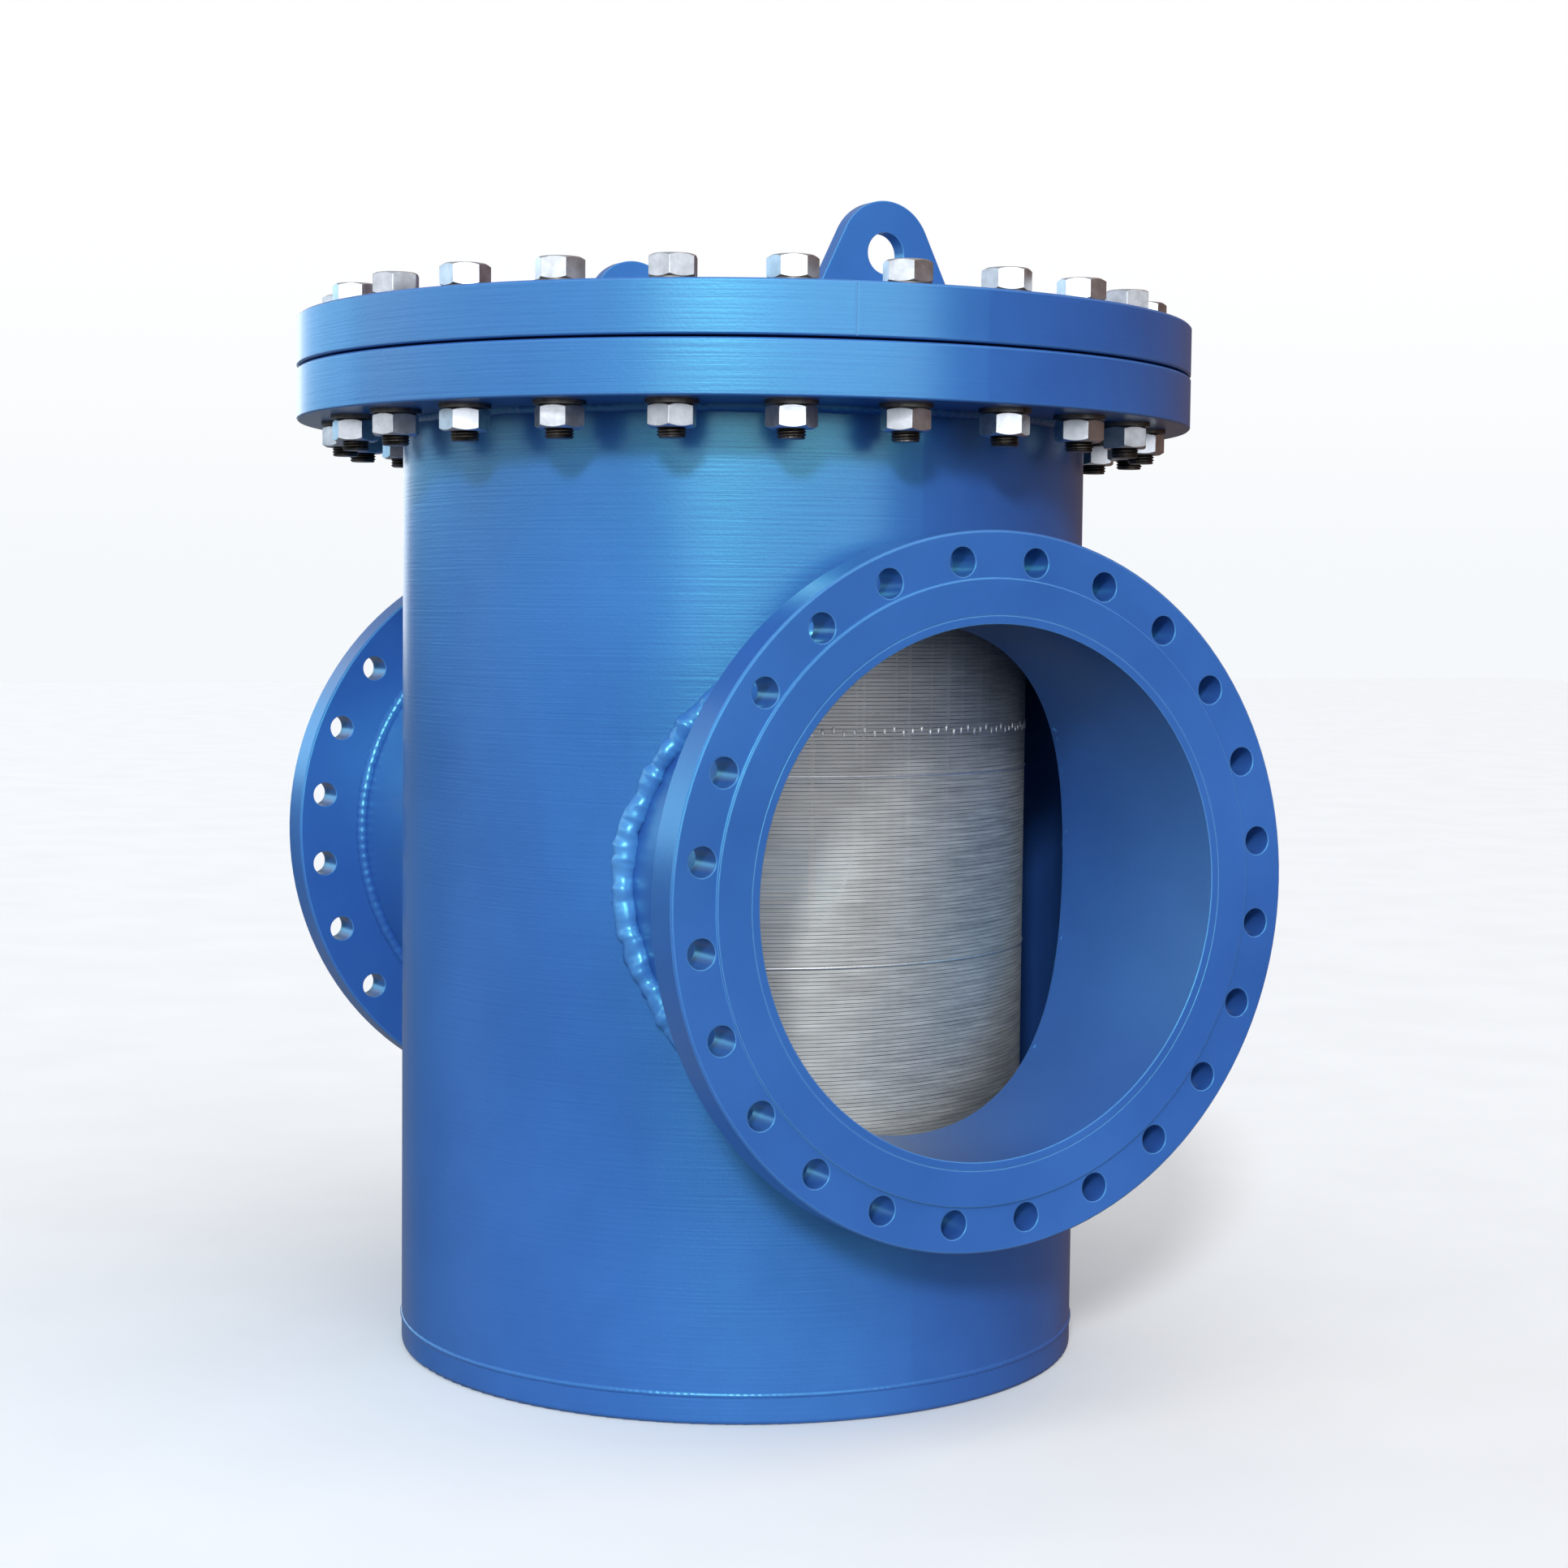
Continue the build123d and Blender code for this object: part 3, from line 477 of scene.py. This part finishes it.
# ---------------------------------------------------------------------------------------------------------
# Basket screen: stainless wedge wire wound round the rods and welded to each, its flat side out.  It is
# wound in lengths that are joined by level seams, with a row of tack welds above the upper seam.
def wound_screen_tree():
    """Level turns of wire, each cut where it meets the edge of the inlet port."""
    kinds = {
        "Radius": "Float",
        "Wire Width": "Float",
        "Wire Depth": "Float",
        "Pitch": "Float",
        "Turns": "Int",
        "Bottom": "Float",
        "Port Radius": "Float",
        "Port Height": "Float",
        "Steel": "Material",
    }
    tree, given = geometry_tree("wound_screen", kinds)
    start = add(tree, "ShaderNodeCombineXYZ", {"Z": given["Bottom"]})
    lift = add(tree, "ShaderNodeCombineXYZ", {"Z": given["Pitch"]})
    levels = {"Count": given["Turns"], "Start Location": start, "Offset": lift}
    levels = add(tree, "GeometryNodeMeshLine", levels)
    turn = {"Resolution": 128, "Radius": given["Radius"]}
    turn = add(tree, "GeometryNodeCurvePrimitiveCircle", turn)
    # A turn starts on the inlet side, so that the port is at its two ends.
    turn = add(tree, "GeometryNodeTransform", {"Geometry": turn, "Rotation": (0.0, 0.0, math.pi)})
    turns = add(tree, "GeometryNodeInstanceOnPoints", {"Points": levels, "Instance": turn})
    turns = add(tree, "GeometryNodeRealizeInstances", {"Geometry": turns})
    # Half the port's width at each level gives the angle that the wire leaves open.
    height = add(tree, "ShaderNodeSeparateXYZ", {"Vector": add(tree, "GeometryNodeInputPosition")})
    off_axis = {0: height.outputs["Z"], 1: given["Port Height"]}
    off_axis = add(tree, "ShaderNodeMath", off_axis, operation="SUBTRACT")
    off_axis = add(tree, "ShaderNodeMath", {0: off_axis, 1: off_axis}, operation="MULTIPLY")
    square = {0: given["Port Radius"], 1: given["Port Radius"]}
    square = add(tree, "ShaderNodeMath", square, operation="MULTIPLY")
    half_width = {0: square, 1: off_axis}
    half_width = add(tree, "ShaderNodeMath", half_width, operation="SUBTRACT", use_clamp=True)
    half_width = add(tree, "ShaderNodeMath", {0: half_width}, operation="SQRT")
    share = add(tree, "ShaderNodeMath", {0: half_width, 1: given["Radius"]}, operation="DIVIDE")
    angle = add(tree, "ShaderNodeMath", {0: share}, operation="ARCSINE")
    skip = add(tree, "ShaderNodeMath", {0: angle, 1: 2 * math.pi}, operation="DIVIDE")
    stop = add(tree, "ShaderNodeMath", {0: 1.0, 1: skip}, operation="SUBTRACT")
    cut = add(tree, "GeometryNodeTrimCurve", {"Curve": turns, "Start": skip, "End": stop}, mode="FACTOR")
    wedge = {"Width": given["Wire Depth"], "Height": given["Wire Width"]}
    wedge = add(tree, "GeometryNodeCurvePrimitiveQuadrilateral", wedge)
    wires = {"Curve": cut, "Profile Curve": wedge, "Fill Caps": True}
    wires = add(tree, "GeometryNodeCurveToMesh", wires)
    end_tree(tree, wires, given["Steel"], False)
    return tree


def piece_ring_tree():
    """Copies a piece along a circle, each turned a step further than the last."""
    kinds = {
        "Piece": "Object",
        "Count": "Int",
        "Circle Radius": "Float",
        "First Angle": "Float",
        "Spacing": "Float",
        "Turn Step": "Float",
        "Height": "Float",
        "Metal": "Material",
    }
    tree, given = geometry_tree("piece_ring", kinds)
    index = add(tree, "GeometryNodeInputIndex")
    angle = {0: index, 1: given["Spacing"], 2: given["First Angle"]}
    angle = add(tree, "ShaderNodeMath", angle, operation="MULTIPLY_ADD")
    out = add(tree, "ShaderNodeCombineXYZ", {"X": given["Circle Radius"], "Z": given["Height"]})
    place = add(tree, "ShaderNodeVectorRotate", {"Vector": out, "Angle": angle}, rotation_type="Z_AXIS")
    points = add(tree, "GeometryNodePoints", {"Count": given["Count"], "Position": place})
    turn = add(tree, "ShaderNodeMath", {0: index, 1: given["Turn Step"], 2: angle}, operation="MULTIPLY_ADD")
    turn = add(tree, "ShaderNodeCombineXYZ", {"Z": turn})
    piece = add(tree, "GeometryNodeObjectInfo", {"Object": given["Piece"]}).outputs["Geometry"]
    copies = {"Points": points, "Instance": piece, "Rotation": turn}
    end_tree(tree, add(tree, "GeometryNodeInstanceOnPoints", copies), given["Metal"], False)
    return tree


ring_tree = piece_ring_tree()

# Each wire's tone varies along it in streaks 70 mm long.
wire_grain = (14.0, 14.0, 260.0)
wire_steel = stainless("drawn_stainless_wire", "#B1B0AC", "#D8D7D3", 0.6, 0.75, wire_grain)
screen_low, screen_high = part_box("basket_screen")
screen_radius = screen_high[0]
# Real wedge wire is 2 to 3 mm wide; this is wound coarser so that single wires show.
wire_pitch = 0.0045
wire_width = 0.0039
wire_depth = 0.0024
port_radius = 0.312
screen = grow(
    "wound_wire_screen",
    wound_screen_tree(),
    {
        "Radius": screen_radius - wire_depth / 2,
        "Wire Width": wire_width,
        "Wire Depth": wire_depth,
        "Pitch": wire_pitch,
        "Turns": int((screen_high[2] - screen_low[2]) / wire_pitch),
        "Bottom": screen_low[2] + wire_pitch / 2,
        "Port Radius": port_radius,
        "Port Height": nozzle_height,
        "Steel": wire_steel,
    },
    "basket",
)
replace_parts(screen, "basket_screen")


def port_half_angle(height):
    """Half the angle that the inlet port takes out of the screen at a height, in radians."""
    half_width = math.sqrt(port_radius**2 - (height - nozzle_height) ** 2)
    return math.asin(half_width / screen_radius)


# The seams and tacks were ground back, so they shine more than the wire.  Their grinding marks are 3 mm
# apart, which is coarser than real ones so that they show.
ground_grain = (300.0, 300.0, 300.0)
ground_steel = stainless("ground_weld_steel", "#DCDAD5", "#F0EEEA", 0.4, 0.6, ground_grain)
seam_heights = {"upper_screen_seam": 0.737, "lower_screen_seam": 0.515}
seam_bead_radius = 0.0018
seam_sunk = 0.0008
for name, height in seam_heights.items():
    reach = 180.0 - math.degrees(port_half_angle(height))
    seam = arc(screen_radius - seam_sunk, height, -reach, reach)
    weld(name, seam, seam_bead_radius, "basket", ground_steel, closed=False)

# The tacks were made in three passes, so their heights differ.
tack_mesh = bmesh.new()
tack_size = Matrix.Diagonal((0.0018, 0.0024, 0.0055, 1.0))
bmesh.ops.create_icosphere(tack_mesh, subdivisions=1, radius=1.0, matrix=tack_size)
tack = mesh_object("tack_template", [], [])
tack_mesh.to_mesh(tack.data)
tack_mesh.free()
tack_height = 0.788
tack_sunk = 0.0004
tack_spacing = math.radians(2.1)
pass_lifts = (0.0, 0.0025, -0.0015)
first_tack = math.pi - port_half_angle(tack_height)
for number, lift in enumerate(pass_lifts):
    values = {
        "Piece": tack,
        "Count": int(2 * first_tack / tack_spacing / len(pass_lifts)),
        "Circle Radius": screen_radius - tack_sunk,
        "First Angle": number * tack_spacing - first_tack,
        "Spacing": len(pass_lifts) * tack_spacing,
        "Turn Step": 0.0,
        "Height": tack_height + lift,
        "Metal": ground_steel,
    }
    grow("screen_tacks_%d" % (number + 1), ring_tree, values, "basket")
bpy.data.objects.remove(tack)


# ---------------------------------------------------------------------------------------------------------
# Rubber: the cover's gasket, the basket's seat gasket and the inlet port's seal, cut from black nitrile
# sheet.  It is matt, with fine pale dust in its pores.
def black_rubber():
    """Nitrile sheet with pores 2 mm apart, wider than real ones so that they show."""
    material, tree, place = new_material("black_nitrile_rubber")
    pores = add(tree, "ShaderNodeTexNoise", {"Vector": place, "Scale": 420.0, "Detail": 3.0})
    tones = {0.35: "#101113", 0.75: "#24262A"}
    bump = {"Height": pores, "Distance": 0.0002, "Strength": 0.4}
    sheet = {
        "Base Color": add(tree, "ShaderNodeValToRGB", {"Fac": pores}, tones=tones),
        "Roughness": add(tree, "ShaderNodeMapRange", {"Value": pores, "To Min": 0.55, "To Max": 0.8}),
        "Normal": add(tree, "ShaderNodeBump", bump),
    }
    shader = add(tree, "ShaderNodeBsdfPrincipled", sheet)
    add(tree, "ShaderNodeOutputMaterial", {"Surface": shader})
    return material


paint(black_rubber(), "cover_gasket", "basket_gasket", "inlet_port_seal")


# ---------------------------------------------------------------------------------------------------------
# Cover nuts: 24 above the cover and 24 below the body flange, hot-forged hexagons with their corners turned
# down, plated with bright zinc.  Each stops at its own angle.
def bright_zinc():
    """Electroplated zinc: a bluish white gloss, duller in blotches, with rounded corners."""
    material, tree, place = new_material("bright_zinc_plate")
    # Blotches are about 20 mm across, and the forged skin's grain 1.5 mm.
    blotches = {"Vector": place, "Scale": 45.0, "Detail": 5.0, "Roughness": 0.65}
    blotches = add(tree, "ShaderNodeTexNoise", blotches)
    rounded = add(tree, "ShaderNodeBevel", {"Radius": 0.0011}, samples=4)
    forging = add(tree, "ShaderNodeTexNoise", {"Vector": place, "Scale": 700.0, "Detail": 2.0})
    tones = {0.34: "#B4B6B8", 0.66: "#DDDEE0"}
    bump = {"Height": forging, "Distance": 0.0001, "Strength": 0.25, "Normal": rounded}
    plating = {
        "Base Color": add(tree, "ShaderNodeValToRGB", {"Fac": blotches}, tones=tones),
        "Metallic": 1.0,
        "Roughness": add(tree, "ShaderNodeMapRange", {"Value": blotches, "To Min": 0.29, "To Max": 0.46}),
        "Normal": add(tree, "ShaderNodeBump", bump),
    }
    shader = add(tree, "ShaderNodeBsdfPrincipled", plating)
    add(tree, "ShaderNodeOutputMaterial", {"Surface": shader})
    return material


bolt_circle = 0.499
bolt_count = 24
bolt_spacing = 2 * math.pi / bolt_count
nut_turn_step = math.radians(23.0)


def around_cover(name, template, node, body, metal, height):
    """Copies a template to each of the cover's bolts in place of a CAD node."""
    values = {
        "Piece": template,
        "Count": bolt_count,
        "Circle Radius": bolt_circle,
        "First Angle": bolt_spacing / 2,
        "Spacing": bolt_spacing,
        "Turn Step": nut_turn_step,
        "Height": height,
        "Metal": metal,
    }
    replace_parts(grow(name, ring_tree, values, body), node)


def merged(name, verts, faces):
    """A template object without doubled points or faces of no area."""
    made = mesh_object(name, verts, faces)
    mesh = bmesh.new()
    mesh.from_mesh(made.data)
    bmesh.ops.remove_doubles(mesh, verts=mesh.verts, dist=1e-6)
    bmesh.ops.dissolve_degenerate(mesh, edges=mesh.edges, dist=1e-6)
    mesh.to_mesh(made.data)
    mesh.free()
    return made


def hexagon_nut(across_flats, height, bore, countersink, steps=48):
    """A nut that stands on z = 0, with the corners of both ends turned down at 30 degrees.

    Its end faces are round, and 0.94 of the width across flats.
    """
    face_radius = 0.94 * across_flats / 2
    verts, faces = [], []
    for step in range(steps):
        turn = 2 * math.pi * step / steps
        off_corner = abs((turn + math.pi / 6) % (math.pi / 3) - math.pi / 6)
        edge = across_flats / 2 / math.cos(math.pi / 6 - off_corner)
        drop = (edge - face_radius) * math.tan(math.radians(30))
        profile = (
            (bore, countersink),
            (bore + countersink, 0.0),
            (face_radius, 0.0),
            (edge, drop),
            (edge, height - drop),
            (face_radius, height),
            (bore + countersink, height),
            (bore, height - countersink),
        )
        verts += [(radius * math.cos(turn), radius * math.sin(turn), z) for radius, z in profile]
        first = len(profile) * step
        second = len(profile) * ((step + 1) % steps)
        for corner in range(len(profile)):
            beyond = (corner + 1) % len(profile)
            faces.append((first + corner, second + corner, second + beyond, first + beyond))
    return merged("nut_template", verts, faces)


stud_radius = 0.0165
thread_clearance = 0.0002
zinc = bright_zinc()
nut_low, nut_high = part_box("upper_nuts")
nut_height = nut_high[2] - nut_low[2]
nut_across_flats = 0.050
nut_bore = stud_radius + thread_clearance
nut = hexagon_nut(nut_across_flats, nut_height, nut_bore, countersink=0.0016)
around_cover("cover_top_nuts", nut, "upper_nuts", "cover_nuts", zinc, nut_low[2])
lower_nut_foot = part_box("lower_nuts")[0][2]
around_cover("under_flange_nuts", nut, "lower_nuts", "body", zinc, lower_nut_foot)
bpy.data.objects.remove(nut)
paint(zinc, "vent_plug", "drain_plug")


# ---------------------------------------------------------------------------------------------------------
# Studs and washers: M33 studs threaded end to end, of dark rolled steel with bright sawn ends, and plain
# steel washers under the nuts.
def rolled_steel(name, dark, light, sawn):
    """Dark oiled steel, brighter on its level faces where it was sawn or has been rubbed."""
    material, tree, place = new_material(name)
    # Patches of scale are about 11 mm across.
    scale = add(tree, "ShaderNodeTexNoise", {"Vector": place, "Scale": 90.0, "Detail": 5.0})
    skin = add(tree, "ShaderNodeValToRGB", {"Fac": scale}, tones={0.3: dark, 0.7: light})
    normal = add(tree, "ShaderNodeNewGeometry").outputs["Normal"]
    upright = add(tree, "ShaderNodeSeparateXYZ", {"Vector": normal}).outputs["Z"]
    upright = add(tree, "ShaderNodeMath", {0: upright}, operation="ABSOLUTE")
    end = add(tree, "ShaderNodeMapRange", {"Value": upright, "From Min": 0.93, "From Max": 0.98})
    tone = {"Factor": end, "A": skin, "B": linear(sawn)}
    bump = {"Height": scale, "Distance": 0.0002, "Strength": 0.3}
    metal = {
        "Base Color": add(tree, "ShaderNodeMix", tone, data_type="RGBA"),
        "Metallic": 1.0,
        "Roughness": add(tree, "ShaderNodeMapRange", {"Value": scale, "To Min": 0.35, "To Max": 0.6}),
        "Normal": add(tree, "ShaderNodeBump", bump),
    }
    shader = add(tree, "ShaderNodeBsdfPrincipled", metal)
    add(tree, "ShaderNodeOutputMaterial", {"Surface": shader})
    return material


def threaded_stud(radius, length, pitch, steps=20):
    """A stud that stands on z = 0, with one helical thread and both ends chamfered.

    The thread is 0.61 of its pitch deep, and its crest about an eighth of the pitch wide.
    """
    root = radius - 0.61 * pitch
    # Each corner of the thread has its radius and its height as a share of the pitch.
    profile = ((root, 0.0), (radius, 0.44), (radius, 0.56))
    count = int((length / pitch + 2) * steps)
    verts, faces = [], []
    for index in range(count):
        turn = 2 * math.pi * index / steps
        for radius_here, share in profile:
            z = pitch * (index / steps + share - 1)
            z = min(max(z, 0.0), length)
            radius_here = min(radius_here, root + min(z, length - z))
            verts.append((radius_here * math.cos(turn), radius_here * math.sin(turn), z))
    corners = len(profile)
    for index in range(count - steps - 1):
        first = corners * index
        rows = [first, first + 1, first + 2, corners * (index + steps)]
        for low, high in zip(rows, rows[1:]):
            faces.append((low, low + corners, high + corners, high))
    faces.append([corners * index for index in reversed(range(steps))])
    faces.append([corners * (count - steps + index) for index in range(steps)])
    return merged("stud_template", verts, faces)


stud_low, stud_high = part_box("cover_studs")
stud = threaded_stud(stud_radius, stud_high[2] - stud_low[2], pitch=0.0035)
stud_steel = rolled_steel("rolled_stud_steel", "#3E3A37", "#6A645D", "#A8A39B")
around_cover("threaded_cover_studs", stud, "cover_studs", "body", stud_steel, stud_low[2])
bpy.data.objects.remove(stud)
washer_steel = rolled_steel("plain_washer_steel", "#56524E", "#837D76", "#8F8A83")
paint(washer_steel, "upper_washers", "lower_washers")
